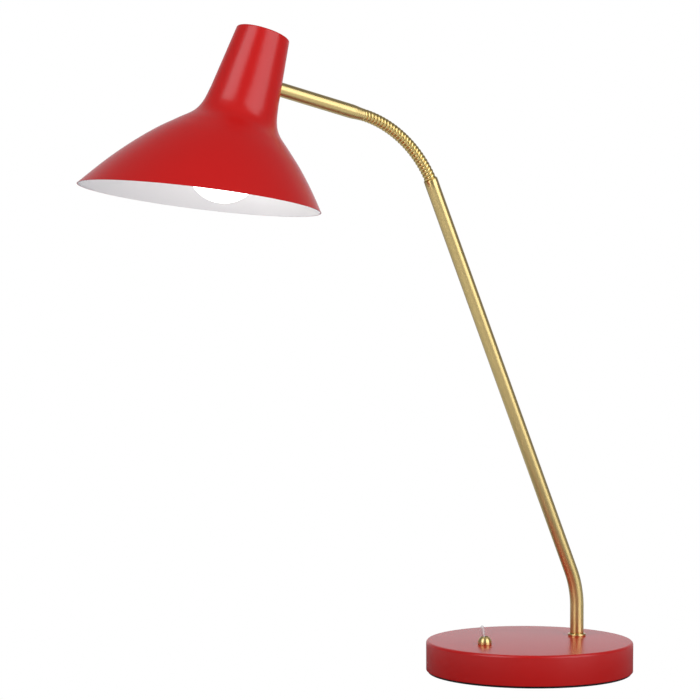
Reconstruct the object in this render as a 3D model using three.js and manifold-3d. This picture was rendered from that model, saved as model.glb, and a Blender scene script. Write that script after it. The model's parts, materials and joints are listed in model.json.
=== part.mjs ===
// Architect desk lamp: a weighted round base with a toggle switch, a leaning bent tube,
// a flexible neck that holds any bend, and a spun metal shade on a short arm.
// Millimetres, +Z up. The origin is the centre of the face that the lamp stands on. The tube
// stands on the +X side of the base and leans over it, so the shade hangs on the -X side.

import * as THREE from "three";
import { mergeVertices } from "three/addons/utils/BufferGeometryUtils.js";
import Module from "manifold-3d";

const wasm = await Module();
wasm.setup();

// ---------------------------------------------------------------- driving dimensions

// Clearance between pieces that touch, and between a piece and the hole that it fits.
const GAP = 0.3;

// Base
const BASE_DIAMETER = 180;
const BASE_HEIGHT = 27.8;
const BASE_EDGE_RADIUS = 2.2;
const BASE_EDGE_STEPS = 4;
const LEAST_INNER_EDGE = 0.5; // of the cover's inside corner
const COVER_WALL = 1.5;
const PAD_THICKNESS = 1.5;
const PAD_INSET = 1.5;
const PLATE_THICKNESS = 2;
const BALLAST_MARGIN = 9.5; // from the ballast to the wall of the cover
const BALLAST_THICKNESS = 14;
const CLAMP_WEB = 6; // what the stem nut clamps of the ballast
const NUT_RECESS_MARGIN = 2; // round the washer
const SWITCH_WINDOW_MARGIN = 4; // round the body of the switch
const PLATE_SCREW_COUNT = 3;
const PLATE_SCREW_INSET = 19; // from the edge of the ballast
const PLATE_SCREW_LENGTH = 16;
const SCREW_SHANK = 4;
const SCREW_HEAD = 7.4;
const SCREW_HEAD_HEIGHT = 1.7;
const SPACER_DIAMETER = 8;
const TERMINAL_BLOCK = [16, 12, 6];
const TERMINAL_BLOCK_MARGIN = 1;

// Cord inlet in the rear wall of the base
const INLET_HEIGHT = 10;
const INLET_BORE = 7;
const INLET_BODY = 9.4;
const INLET_FLANGE = 11.4;
const INLET_FLANGE_THICKNESS = 1.2;
const INLET_CHAMFER = 0.4;
const INLET_LENGTH = 3.8; // from the cover inwards

// Threaded nipples, M10 x 1, drawn plain at their pitch diameter
const NIPPLE_DIAMETER = 9.4;
const NIPPLE_BORE = 6.4;
const NUT_ACROSS_FLATS = 14;
const THIN_NUT = 2.5;
const WASHER_DIAMETER = 18;
const WASHER_THICKNESS = 1.2;

// Stem
const STEM_INSET = 37.9; // from the edge of the base to the axis of the stem's foot
const TUBE_DIAMETER = 12;
const TUBE_WALL = 1;
const COLLAR_DIAMETER = 15.8;
const COLLAR_HEIGHT = 1.8;
const BEND_HEIGHT = 42.5; // corner of the bend above the base
const BEND_RADIUS = 80;
const BEND_STEPS = 8;
const STEM_LEAN = THREE.MathUtils.degToRad(23.85); // from vertical
const STEM_REACH = 390; // from the corner of the bend to the flexible neck
const STEM_NUT_THICKNESS = 5;
const STEM_NIPPLE_IN_TUBE = 14;
const NIPPLE_PAST_NUT = 1;

// Flexible neck: short ribbed links, each hinged to the next
const NECK_START_LEAN = THREE.MathUtils.degToRad(28); // from vertical, as it leaves the tube
const NECK_LENGTH = 88.7;
const NECK_DIAMETER = 10.3;
const NECK_BORE = 6;
const NECK_HINGES = 12;
const LINK_GAP = 1.7;
const RIB_DEPTH = 0.45;
const PLUG_LENGTH = 14; // inside the tube

// Arm
const ARM_LEAN = THREE.MathUtils.degToRad(77.3); // from vertical
const ARM_DIAMETER = 11.8;
const ARM_REACH = 111.6; // from the flexible neck to the axis of the shade
const SWAGE_LENGTH = 12;
const SWAGE_EASE = 0.15; // share of its growth, over each end's quarter of its length
const SWAGE_QUARTER = 0.25;
const ARM_NIPPLE_IN_ARM = 12;

// Shade, spun about its own axis and cut off at an angle. Depths are from its top.
const SHADE_TILT = THREE.MathUtils.degToRad(18.9); // axis from vertical
const SHADE_WALL = 1;
const SHADE_ROOM = 8.7; // from the lampholder to the outside of the neck, where the arm enters
const SHADE_TOP_EDGE = 1.2; // height of the bevel round the top
const SHADE_TOP_BEVEL = 0.96; // its width
const SHADE_ARM_DEPTH = 39.8;
const SHADE_CONE_DEPTH = 54;
const SHADE_CONE_SLOPE = 0.117; // growth of the neck's radius with depth
const SHADE_FLARE = [ // [depth, radius] past the end of the cone
  [14, 2.8],
  [24, 8.1],
  [35.3, 20.2],
  [48.3, 33.9],
  [65.7, 49.4],
  [86.5, 65.3],
  [116, 84.9],
];
const SHADE_FLARE_STEPS = 13;
const RIM_DEPTH = 143.2; // on the axis
const RIM_TILT = THREE.MathUtils.degToRad(11); // the rim is lowest on the arm's side

// Lampholder and lamp, E27
const BRACKET_THICKNESS = 1.5;
const BRACKET_WIDTH = 14;
const BRACKET_DEPTH = 9; // of its level leg, below the shade's top
const BRACKET_END_DEPTH = 51;
const BRACKET_OVERHANG = 9;
const HOLDER_DIAMETER = 36;
const HOLDER_WALL = 1.8;
const HOLDER_CAP_HEIGHT = 15;
const HOLDER_CAP_SIDE = 6; // height of the cap's straight side
const HOLDER_CAP_BEVEL = [3.6, 5.25]; // width and height, above the straight side
const HOLDER_CAP_INSIDE = 3.75; // height of the straight side within
const HOLDER_BOSS_DIAMETER = 18;
const HOLDER_BOSS_LENGTH = 7.5;
const HOLDER_BODY_HEIGHT = 40;
const HOLDER_BORE = 28.4;
const HOLDER_ROOF = 3;
const HOLDER_WIRE_HOLE = 6;
const THREAD_SHELL_WALL = 0.4;
const THREAD_SHELL_ABOVE_MOUTH = 3;
const THREAD_SHELL_BELOW_ROOF = 4;
const CONTACT_HEAD_DIAMETER = 8;
const CONTACT_STEM_DIAMETER = 4;
const CONTACT_HEAD_THICKNESS = 1; // and the height of the taper above it
const BULB_DIAMETER = 60;
const BULB_BOTTOM_DEPTH = 143;
const BULB_LENGTH = 106;
const BULB_TIP_DIAMETER = 9;
const BULB_TIP_HEIGHT = 2;
const BULB_INSULATOR_DIAMETER = 20;
const BULB_INSULATOR_TOP_DIAMETER = 11;
const BULB_INSULATOR_HEIGHT = 2.5;
const BULB_CAP_DIAMETER = 26.2;
const BULB_CAP_HEIGHT = 20;
const BULB_CAP_WALL = 1;
const BULB_CAP_BEVEL = [2.5, 2]; // width and height
const BULB_TANGENT = THREE.MathUtils.degToRad(40); // where the cone leaves the ball
const BULB_ARC_STEPS = 8;
const BULB_GLASS_WALL = 1;

// Toggle switch
const SWITCH_INSET = 42; // from the edge of the base to the axis of the switch
const SWITCH_BODY = [13, 8, 10];
const SWITCH_LUG = [0.8, 2, 3];
const SWITCH_BUSHING_DIAMETER = 6;
const SWITCH_BUSHING_BORE = 4.6;
const SWITCH_BUSHING_HEIGHT = 5.5; // above the cover
const SWITCH_NUT_ACROSS_FLATS = 9;
const SWITCH_NUT_THICKNESS = 1;
const DOME_DIAMETER = 12;
const DOME_SKIRT = 1.6;
const DOME_WALL = 1.5;
const DOME_HOLE = 6;
const DOME_STEPS = 5;
const LEVER_PIVOT_HEIGHT = 2; // above the cover
const LEVER_LENGTH = 15; // above its pivot
const LEVER_TAIL = 3.4; // below its pivot
const LEVER_TAIL_DIAMETER = 1.6;
const LEVER_DIAMETER = 2.2;
const LEVER_TIP_DIAMETER = 2.8;
const LEVER_LEAN = THREE.MathUtils.degToRad(12);

// Facets of a full turn. A round section gets twice its curveSegments.
const FINE = 64;
const SHADE_SIDES = 48;
const MEDIUM = 20;
const COARSE = 14;

// ------------------------------------------------------------------------- materials

const metal = (color, roughness) => new THREE.MeshStandardMaterial({ color, roughness, metalness: 1 });
const plain = (color, roughness) => new THREE.MeshStandardMaterial({ color, roughness, metalness: 0 });

const redPaint = plain(0xb3161a, 0.45);
const brass = metal(0xb9974f, 0.35);
const nickel = metal(0xc9c6c0, 0.25);
const steel = metal(0x8f9296, 0.4);
const castIron = metal(0x3a3b3d, 0.7);
const rubber = plain(0x17181a, 0.9);
const blackPlastic = plain(0x1b1c1e, 0.5);
const whitePlastic = plain(0xe8e6e0, 0.5);
const opalGlass = plain(0xfbf7ec, 0.3);

// --------------------------------------------------------------------------- helpers

/** Spins a profile of [radius, z] points about Z. It runs anticlockwise and closes itself. */
function spun(profile, sides = MEDIUM) {
  const points = profile.map(([radius, z]) => new THREE.Vector2(radius, z));
  const startsOnAxis = profile[0][0] === 0;
  const endsOnAxis = profile.at(-1)[0] === 0;
  if (!(startsOnAxis && endsOnAxis)) points.push(points[0].clone());
  return new THREE.LatheGeometry(points, sides).rotateX(Math.PI / 2);
}

/** A round disc or rod from z = low to z = high. */
function rod(diameter, low, high, sides = MEDIUM) {
  const radius = diameter / 2;
  return spun([[0, low], [radius, low], [radius, high], [0, high]], sides);
}

/** A round tube or washer from z = low to z = high. */
function ring(diameter, bore, low, high, sides = MEDIUM) {
  const radius = diameter / 2;
  const inner = bore / 2;
  return spun([[inner, low], [radius, low], [radius, high], [inner, high]], sides);
}

/** A box centred on the Z axis from z = low to z = high. */
function boxFrom(length, width, low, high) {
  return new THREE.BoxGeometry(length, width, high - low).translate(0, 0, (low + high) / 2);
}

/** A hexagonal nut from z = low to z = high. */
function hexNut(acrossFlats, bore, low, high) {
  const corner = acrossFlats / 2 / Math.cos(Math.PI / 6);
  const outline = new THREE.Shape();
  for (let i = 0; i < 6; i++) {
    const angle = (i * Math.PI) / 3;
    const place = [corner * Math.cos(angle), corner * Math.sin(angle)];
    if (i === 0) outline.moveTo(...place);
    else outline.lineTo(...place);
  }
  outline.closePath();
  outline.holes.push(new THREE.Path().absarc(0, 0, bore / 2, 0, 2 * Math.PI, true));
  const settings = { depth: high - low, bevelEnabled: false, curveSegments: COARSE / 2 };
  return new THREE.ExtrudeGeometry(outline, settings).translate(0, 0, low);
}

/** The points of an arc in a profile, from one angle to another, both included. */
function arc(radius, centreRadius, centreZ, from, to, steps) {
  const points = [];
  for (let i = 0; i <= steps; i++) {
    const angle = from + ((to - from) * i) / steps;
    points.push([centreRadius + radius * Math.cos(angle), centreZ + radius * Math.sin(angle)]);
  }
  return points;
}

/** A closed three.js geometry as a solid that can be cut. */
function solid(geometry) {
  const bare = geometry.clone();
  bare.deleteAttribute("normal");
  bare.deleteAttribute("uv");
  const welded = mergeVertices(bare, 1e-4);
  const index = welded.index.array;
  const triangles = [];
  for (let i = 0; i < index.length; i += 3) {
    const [a, b, c] = [index[i], index[i + 1], index[i + 2]];
    if (a !== b && b !== c && c !== a) triangles.push(a, b, c);
  }
  return new wasm.Manifold(new wasm.Mesh({
    numProp: 3,
    vertProperties: new Float32Array(welded.attributes.position.array),
    triVerts: new Uint32Array(triangles),
  }));
}

/** The first geometry with the others cut out of it. */
function cut(geometry, ...tools) {
  let result = solid(geometry);
  for (const tool of tools) result = result.subtract(solid(tool));
  const mesh = result.getMesh();
  const made = new THREE.BufferGeometry();
  made.setAttribute("position", new THREE.BufferAttribute(new Float32Array(mesh.vertProperties), 3));
  made.setIndex(new THREE.BufferAttribute(new Uint32Array(mesh.triVerts), 1));
  made.computeVertexNormals();
  return made;
}

/** Adds a named piece to a group. */
function add(group, name, geometry, material) {
  const mesh = new THREE.Mesh(geometry, material);
  mesh.name = name;
  group.add(mesh);
  return mesh;
}

/** A group whose +Z leans from vertical towards -X by an angle. */
function leaningGroup(parent, place, lean) {
  const group = new THREE.Group();
  group.position.copy(place);
  group.rotation.y = -lean;
  parent.add(group);
  return group;
}

// How far a cutting tool runs past the face that it enters or leaves by.
const OVERRUN = 1;

const inPlane = (x, z) => new THREE.Vector3(x, 0, z);
const leaning = (lean) => inPlane(-Math.sin(lean), Math.cos(lean));

// ---------------------------------------------------- levels and the lamp's centre line

const baseRadius = BASE_DIAMETER / 2;
const plateLow = PAD_THICKNESS + GAP;
const plateTop = plateLow + PLATE_THICKNESS;
const coverCeiling = BASE_HEIGHT - COVER_WALL;
const ballastTop = coverCeiling - GAP;
const ballastLow = ballastTop - BALLAST_THICKNESS;
const ballastRadius = baseRadius - COVER_WALL - BALLAST_MARGIN;
const stemX = baseRadius - STEM_INSET;
const switchX = SWITCH_INSET - baseRadius;

const bendCorner = inPlane(stemX, BASE_HEIGHT + BEND_HEIGHT);
const neckStart = bendCorner.clone().addScaledVector(leaning(STEM_LEAN), STEM_REACH);
const neckRadius = NECK_LENGTH / (ARM_LEAN - NECK_START_LEAN);
const neckCentre = neckStart.clone()
  .addScaledVector(leaning(NECK_START_LEAN + Math.PI / 2), neckRadius);

/** The lean of the flexible neck at a share of its length. */
const neckLean = (share) => NECK_START_LEAN + (ARM_LEAN - NECK_START_LEAN) * share;

/** The point on the flexible neck's centre line at a share of its length. */
const neckPoint = (share) => (
  neckCentre.clone().addScaledVector(leaning(neckLean(share) - Math.PI / 2), neckRadius)
);

const armStart = neckPoint(1);
const armMeetsAxis = armStart.clone().addScaledVector(leaning(ARM_LEAN), ARM_REACH);
const shadeTop = armMeetsAxis.clone().addScaledVector(leaning(-SHADE_TILT), SHADE_ARM_DEPTH);

// ------------------------------------------------------------------------------- base

function addBase(lamp) {
  const outer = baseRadius;
  const inner = baseRadius - COVER_WALL;
  const edge = BASE_EDGE_RADIUS;
  const innerEdge = Math.max(edge - COVER_WALL, LEAST_INNER_EDGE);
  const coverShell = spun([
    [inner, plateLow],
    [outer, plateLow],
    ...arc(edge, outer - edge, BASE_HEIGHT - edge, 0, Math.PI / 2, BASE_EDGE_STEPS),
    [0, BASE_HEIGHT],
    [0, coverCeiling],
    [inner - innerEdge, coverCeiling],
    [inner, coverCeiling - innerEdge],
  ], FINE);
  const holeLow = coverCeiling - OVERRUN;
  const holeTop = BASE_HEIGHT + OVERRUN;
  const stemHole = rod(NIPPLE_DIAMETER + 2 * GAP, holeLow, holeTop).translate(stemX, 0, 0);
  const switchHole = rod(SWITCH_BUSHING_DIAMETER + 2 * GAP, holeLow, holeTop)
    .translate(switchX, 0, 0);
  const inletHole = rod(INLET_BODY + 2 * GAP, inner - OVERRUN, outer + OVERRUN)
    .rotateY(Math.PI / 2)
    .translate(0, 0, INLET_HEIGHT);
  add(lamp, "base_cover", cut(coverShell, stemHole, switchHole, inletHole), redPaint);

  const padDiameter = BASE_DIAMETER - 2 * PAD_INSET;
  add(lamp, "foot_pad", rod(padDiameter, 0, PAD_THICKNESS, FINE), rubber);

  const screws = [];
  for (let i = 0; i < PLATE_SCREW_COUNT; i++) {
    const angle = Math.PI / 2 + (i * 2 * Math.PI) / PLATE_SCREW_COUNT;
    const radius = ballastRadius - PLATE_SCREW_INSET;
    screws.push([radius * Math.cos(angle), radius * Math.sin(angle)]);
  }
  const shank = SCREW_SHANK / 2;
  const head = SCREW_HEAD / 2;
  const neckOfHead = plateLow + SCREW_HEAD_HEIGHT;
  const screwTop = plateLow + PLATE_SCREW_LENGTH;
  const clearHole = SCREW_SHANK + 2 * GAP;

  const plateHoles = screws.map(([x, y]) => spun([
    [0, plateLow - OVERRUN],
    [head + GAP, plateLow - OVERRUN],
    [head + GAP, plateLow],
    [shank + GAP, neckOfHead],
    [shank + GAP, plateTop + OVERRUN],
    [0, plateTop + OVERRUN],
  ], COARSE).translate(x, y, 0));
  const plateDiameter = BASE_DIAMETER - 2 * (COVER_WALL + GAP);
  add(lamp, "base_plate", cut(rod(plateDiameter, plateLow, plateTop, FINE), ...plateHoles), steel);

  const below = ballastLow - OVERRUN;
  const screwHoles = screws.map(([x, y]) => (
    rod(clearHole, below, screwTop + OVERRUN, COARSE).translate(x, y, 0)
  ));
  const nippleHole = rod(NIPPLE_DIAMETER + 2 * GAP, below, ballastTop + OVERRUN)
    .translate(stemX, 0, 0);
  const recessDiameter = WASHER_DIAMETER + 2 * NUT_RECESS_MARGIN;
  const nutRecess = rod(recessDiameter, below, ballastTop - CLAMP_WEB).translate(stemX, 0, 0);
  const [switchLength, switchWidth] = SWITCH_BODY;
  const switchWindow = boxFrom(
    switchLength + 2 * SWITCH_WINDOW_MARGIN,
    switchWidth + 2 * SWITCH_WINDOW_MARGIN,
    below,
    ballastTop + OVERRUN,
  ).translate(switchX, 0, 0);
  const [blockLength, blockWidth, blockHeight] = TERMINAL_BLOCK;
  const blockLow = plateTop + GAP;
  const blockTop = blockLow + blockHeight;
  const blockRecess = boxFrom(
    blockLength + 2 * TERMINAL_BLOCK_MARGIN,
    blockWidth + 2 * TERMINAL_BLOCK_MARGIN,
    plateLow,
    blockTop + TERMINAL_BLOCK_MARGIN,
  );
  const ballastDisc = rod(2 * ballastRadius, ballastLow, ballastTop, FINE);
  add(lamp, "ballast_weight",
    cut(ballastDisc, ...screwHoles, nippleHole, nutRecess, switchWindow, blockRecess), castIron);

  screws.forEach(([x, y], i) => {
    const screw = spun([
      [0, plateLow],
      [head, plateLow],
      [shank, neckOfHead],
      [shank, screwTop],
      [0, screwTop],
    ], COARSE).translate(x, y, 0);
    add(lamp, `plate_screw_${i + 1}`, screw, steel);
    const spacer = ring(SPACER_DIAMETER, clearHole, plateTop + GAP, ballastLow - GAP, COARSE)
      .translate(x, y, 0);
    add(lamp, `plate_spacer_${i + 1}`, spacer, steel);
  });

  const inletInner = baseRadius - COVER_WALL - INLET_LENGTH;
  const flangeFace = baseRadius + GAP;
  const inlet = spun([
    [INLET_BORE / 2, inletInner],
    [INLET_BODY / 2, inletInner],
    [INLET_BODY / 2, flangeFace],
    [INLET_FLANGE / 2, flangeFace],
    [INLET_FLANGE / 2 - INLET_CHAMFER, flangeFace + INLET_FLANGE_THICKNESS],
    [INLET_BORE / 2, flangeFace + INLET_FLANGE_THICKNESS],
  ]).rotateY(Math.PI / 2).translate(0, 0, INLET_HEIGHT);
  add(lamp, "cord_inlet", inlet, blackPlastic);

  const terminalBlock = boxFrom(blockLength, blockWidth, blockLow, blockTop);
  add(lamp, "terminal_block", terminalBlock, whitePlastic);
}

// ------------------------------------------------------------------------------- stem

/** A line in the lamp's plane: straight up, round a bend, and straight on to its end. */
class BentLine extends THREE.Curve {
  constructor(foot, corner, end, radius, lean, bendSteps) {
    super();
    const setback = radius * Math.tan(lean / 2);
    this.foot = foot;
    this.end = end;
    this.lean = lean;
    this.radius = radius;
    this.bendSteps = bendSteps;
    this.steps = bendSteps + 2;
    this.bendStart = corner.clone().addScaledVector(leaning(0), -setback);
    this.bendEnd = corner.clone().addScaledVector(leaning(lean), setback);
    this.bendCentre = this.bendStart.clone().add(inPlane(-radius, 0));
  }

  leanAt(t) {
    return this.lean * THREE.MathUtils.clamp((t * this.steps - 1) / this.bendSteps, 0, 1);
  }

  getPoint(t) {
    const station = t * this.steps;
    if (station < 1) return this.foot.clone().lerp(this.bendStart, station);
    const afterBend = station - (this.steps - 1);
    if (afterBend > 0) return this.bendEnd.clone().lerp(this.end, afterBend);
    const outwards = leaning(this.leanAt(t) - Math.PI / 2);
    return this.bendCentre.clone().addScaledVector(outwards, this.radius);
  }

  getTangent(t) {
    return leaning(this.leanAt(t));
  }

  // Stations stand close together in the bend only, so equal steps of t are kept as they are.
  getPointAt(t) {
    return this.getPoint(t);
  }

  getTangentAt(t) {
    return this.getTangent(t);
  }
}

function addStem(lamp) {
  const foot = inPlane(stemX, BASE_HEIGHT + GAP);
  const line = new BentLine(foot, bendCorner, neckStart, BEND_RADIUS, STEM_LEAN, BEND_STEPS);
  const section = new THREE.Shape().absarc(0, 0, TUBE_DIAMETER / 2, 0, 2 * Math.PI);
  const bore = TUBE_DIAMETER / 2 - TUBE_WALL;
  section.holes.push(new THREE.Path().absarc(0, 0, bore, 0, 2 * Math.PI, true));
  const settings = { steps: line.steps, extrudePath: line, curveSegments: MEDIUM / 2 };
  add(lamp, "stem_tube", new THREE.ExtrudeGeometry(section, settings), brass);

  const washerTop = ballastTop - CLAMP_WEB - GAP;
  const nutTop = washerTop - WASHER_THICKNESS - GAP;
  const nippleLow = nutTop - STEM_NUT_THICKNESS - NIPPLE_PAST_NUT;
  const nippleTop = foot.z + STEM_NIPPLE_IN_TUBE;
  const hole = NIPPLE_DIAMETER + 2 * GAP;
  const pieces = new THREE.Group();
  pieces.position.x = stemX;
  lamp.add(pieces);
  add(pieces, "stem_collar",
    ring(COLLAR_DIAMETER, TUBE_DIAMETER + 2 * GAP, foot.z, foot.z + COLLAR_HEIGHT), brass);
  add(pieces, "stem_nipple", ring(NIPPLE_DIAMETER, NIPPLE_BORE, nippleLow, nippleTop), steel);
  add(pieces, "stem_washer",
    ring(WASHER_DIAMETER, hole, washerTop - WASHER_THICKNESS, washerTop), steel);
  add(pieces, "stem_nut",
    hexNut(NUT_ACROSS_FLATS, hole, nutTop - STEM_NUT_THICKNESS, nutTop), steel);
}

// ----------------------------------------------------------------------------- switch

function addSwitch(lamp) {
  const pieces = new THREE.Group();
  pieces.position.x = switchX;
  lamp.add(pieces);

  const [length, width, height] = SWITCH_BODY;
  const nutTop = coverCeiling - GAP;
  const nutLow = nutTop - SWITCH_NUT_THICKNESS;
  const bodyTop = nutLow - GAP;
  const body = new THREE.BoxGeometry(length, width, height).translate(0, 0, bodyTop - height / 2);
  add(pieces, "switch_body", body, blackPlastic);

  const lugTop = bodyTop - height - GAP;
  const [lugLength, lugWidth, lugHeight] = SWITCH_LUG;
  [-1, 1].forEach((side, i) => {
    const terminal = boxFrom(lugLength, lugWidth, lugTop - lugHeight, lugTop)
      .translate((side * length) / 4, 0, 0);
    add(pieces, `switch_terminal_${i + 1}`, terminal, nickel);
  });

  const bushingTop = BASE_HEIGHT + SWITCH_BUSHING_HEIGHT;
  const nutBore = SWITCH_BUSHING_DIAMETER + 2 * GAP;
  add(pieces, "switch_bushing",
    ring(SWITCH_BUSHING_DIAMETER, SWITCH_BUSHING_BORE, bodyTop + GAP, bushingTop), nickel);
  add(pieces, "switch_lock_nut",
    hexNut(SWITCH_NUT_ACROSS_FLATS, nutBore, nutLow, nutTop), nickel);

  const domeLow = BASE_HEIGHT + GAP;
  const radius = DOME_DIAMETER / 2;
  const centre = domeLow + DOME_SKIRT;
  const holeRadius = DOME_HOLE / 2;
  const inside = radius - DOME_WALL;
  const dome = spun([
    [nutBore / 2, domeLow],
    [radius, domeLow],
    ...arc(radius, 0, centre, 0, Math.acos(holeRadius / radius), DOME_STEPS),
    [holeRadius, centre + Math.sqrt(inside ** 2 - holeRadius ** 2)],
    [nutBore / 2, centre + Math.sqrt(inside ** 2 - (nutBore / 2) ** 2)],
  ]);
  add(pieces, "switch_dome_nut", dome, brass);

  const ball = SWITCH_BUSHING_BORE / 2 - GAP;
  const tailRadius = LEVER_TAIL_DIAMETER / 2;
  const neckRadiusAtBall = LEVER_DIAMETER / 2;
  const tip = LEVER_TIP_DIAMETER / 2;
  const leverBelow = Math.asin(tailRadius / ball) - Math.PI / 2;
  const leverAbove = Math.PI / 2 - Math.asin(neckRadiusAtBall / ball);
  const lever = spun([
    [0, -LEVER_TAIL],
    [tailRadius, -LEVER_TAIL],
    ...arc(ball, 0, 0, leverBelow, leverAbove, 4),
    [tip, LEVER_LENGTH - tip],
    ...arc(tip, 0, LEVER_LENGTH - tip, Math.PI / 6, Math.PI / 3, 1),
    [0, LEVER_LENGTH],
  ], COARSE);
  const pivot = inPlane(0, BASE_HEIGHT + LEVER_PIVOT_HEIGHT);
  add(leaningGroup(pieces, pivot, LEVER_LEAN), "switch_lever", lever, nickel);
}

// ---------------------------------------------------------------------- flexible neck

function addNeck(lamp) {
  const crest = NECK_DIAMETER / 2;
  const groove = crest - RIB_DEPTH;
  const bore = NECK_BORE / 2;
  const pitch = NECK_LENGTH / NECK_HINGES;
  const half = (pitch - LINK_GAP) / 2;

  const link = spun([
    [bore, -half],
    [groove, -half],
    [crest, -half / 2],
    [groove, 0],
    [crest, half / 2],
    [groove, half],
    [bore, half],
  ], COARSE);
  for (let i = 1; i < NECK_HINGES; i++) {
    const share = i / NECK_HINGES;
    const place = leaningGroup(lamp, neckPoint(share), neckLean(share));
    add(place, `neck_link_${String(i).padStart(2, "0")}`, link.clone(), brass);
  }

  // A plug at each end: a spigot inside the tube and half a link outside it.
  const plug = (tubeBore) => {
    const spigot = tubeBore / 2 - GAP;
    return spun([
      [bore, -PLUG_LENGTH],
      [spigot, -PLUG_LENGTH],
      [spigot, GAP],
      [crest, GAP],
      [crest, half / 2],
      [groove, half],
      [bore, half],
    ], COARSE);
  };
  add(leaningGroup(lamp, neckStart, STEM_LEAN), "neck_lower_plug",
    plug(TUBE_DIAMETER - 2 * TUBE_WALL), brass);
  const swagedBore = NECK_DIAMETER - 2 * TUBE_WALL;
  add(leaningGroup(lamp, armStart, ARM_LEAN), "neck_upper_plug",
    plug(swagedBore).rotateX(Math.PI), brass);
}

// -------------------------------------------------------------------------------- arm

const coneSlope = SHADE_CONE_SLOPE;
const coneAngle = Math.atan(coneSlope);
const neckRadiusAtArm = HOLDER_DIAMETER / 2 + SHADE_ROOM;
const shadeTopRadius = neckRadiusAtArm - coneSlope * SHADE_ARM_DEPTH;
const shadeConeRadius = shadeTopRadius + coneSlope * SHADE_CONE_DEPTH;
const armRise = SHADE_TILT - (Math.PI / 2 - ARM_LEAN); // of the arm, in the shade's own frame
const skew = BRACKET_THICKNESS / Math.cos(coneAngle);
const shadeInside = shadeTopRadius - SHADE_WALL / Math.cos(coneAngle);

/** From the shade's axis along the arm to a cone that is parallel to the shade's neck. */
const alongArm = (radiusAtTop) => (
  (radiusAtTop + coneSlope * SHADE_ARM_DEPTH) / (Math.cos(armRise) + coneSlope * Math.sin(armRise))
);

// The bracket is flat, so it stands off the round wall by the wall's rise over its width.
const bracketCorner = shadeInside + coneSlope * BRACKET_DEPTH;
const bracketStandOff = (
  bracketCorner - Math.sqrt(bracketCorner ** 2 - (BRACKET_WIDTH / 2) ** 2) + GAP
);
const legOutside = shadeInside - bracketStandOff;
const legInside = legOutside - skew;

function addArm(lamp) {
  const arm = leaningGroup(lamp, armStart, ARM_LEAN);
  const outer = ARM_DIAMETER / 2;
  const inner = outer - TUBE_WALL;
  const swaged = NECK_DIAMETER / 2;
  const easedGrowth = (outer - swaged) * SWAGE_EASE;
  const wallAt = ARM_REACH - alongArm(shadeTopRadius);
  const end = wallAt - GAP;
  const tube = spun([
    [swaged - TUBE_WALL, 0],
    [swaged, 0],
    [swaged + easedGrowth, SWAGE_LENGTH * SWAGE_QUARTER],
    [outer - easedGrowth, SWAGE_LENGTH * (1 - SWAGE_QUARTER)],
    [outer, SWAGE_LENGTH],
    [outer, end],
    [inner, end],
    [inner, SWAGE_LENGTH],
  ]);
  add(arm, "arm_tube", tube, brass);

  const tilted = (NUT_ACROSS_FLATS / 2) * Math.abs(Math.sin(armRise - coneAngle));
  const nutFace = ARM_REACH - alongArm(legInside) + GAP + tilted;
  const nutEnd = nutFace + THIN_NUT;
  const hole = NIPPLE_DIAMETER + 2 * GAP;
  add(arm, "arm_nut", hexNut(NUT_ACROSS_FLATS, hole, nutFace, nutEnd), steel);
  const nippleDiameter = Math.min(NIPPLE_DIAMETER, 2 * (inner - GAP));
  add(arm, "arm_nipple", ring(nippleDiameter, NIPPLE_BORE, end - ARM_NIPPLE_IN_ARM, nutEnd), steel);
}

// ------------------------------------------------------------------------------ shade

/** The shade's outer outline as [depth, radius] points, with a straight cone and a flare. */
function shadeOutline() {
  const flare = new THREE.SplineCurve([[0, 0], ...SHADE_FLARE].map(([depth, growth]) => (
    new THREE.Vector2(SHADE_CONE_DEPTH + depth, shadeConeRadius + growth)
  )));
  const points = flare.getPoints(SHADE_FLARE_STEPS).map((point) => [point.x, point.y]);
  const edge = SHADE_TOP_EDGE;
  const edgeRadius = shadeTopRadius + coneSlope * edge;
  return [[0, shadeTopRadius - SHADE_TOP_BEVEL], [edge, edgeRadius], ...points];
}

/** The outline moved inwards by the wall, at right angles to itself. */
function insideOf(outline, wall) {
  const moved = outline.map(([depth, radius], i) => {
    const [d0, r0] = outline[Math.max(i - 1, 1)];
    const [d1, r1] = outline[Math.min(i + 1, outline.length - 1)];
    const length = Math.hypot(d1 - d0, r1 - r0);
    return [depth + ((r1 - r0) / length) * wall, radius - ((d1 - d0) / length) * wall];
  });
  return moved.slice(2).filter(([depth]) => depth > wall);
}

function addShade(lamp) {
  const shade = leaningGroup(lamp, shadeTop, -SHADE_TILT);
  const outline = shadeOutline();
  const inside = insideOf(outline, SHADE_WALL);
  const insideTop = shadeInside + coneSlope * SHADE_WALL;
  const shell = spun([
    ...inside.toReversed().map(([depth, radius]) => [radius, -depth]),
    [insideTop, -SHADE_WALL],
    [0, -SHADE_WALL],
    [0, 0],
    ...outline.map(([depth, radius]) => [radius, -depth]),
  ].toReversed(), SHADE_SIDES);
  const big = 3 * outline.at(-1)[1];
  const belowRim = new THREE.BoxGeometry(big, big, big)
    .translate(0, 0, -big / 2)
    .rotateY(-RIM_TILT)
    .translate(0, 0, -RIM_DEPTH);
  const nippleHole = rod(NIPPLE_DIAMETER + 2 * GAP, 0, 2 * shadeConeRadius)
    .rotateY(Math.PI / 2 - armRise)
    .translate(0, 0, -SHADE_ARM_DEPTH);
  add(shade, "shade", cut(shell, belowRim, nippleHole), redPaint);
  addLampholder(shade, nippleHole);
  addBulb(shade);
}

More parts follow.
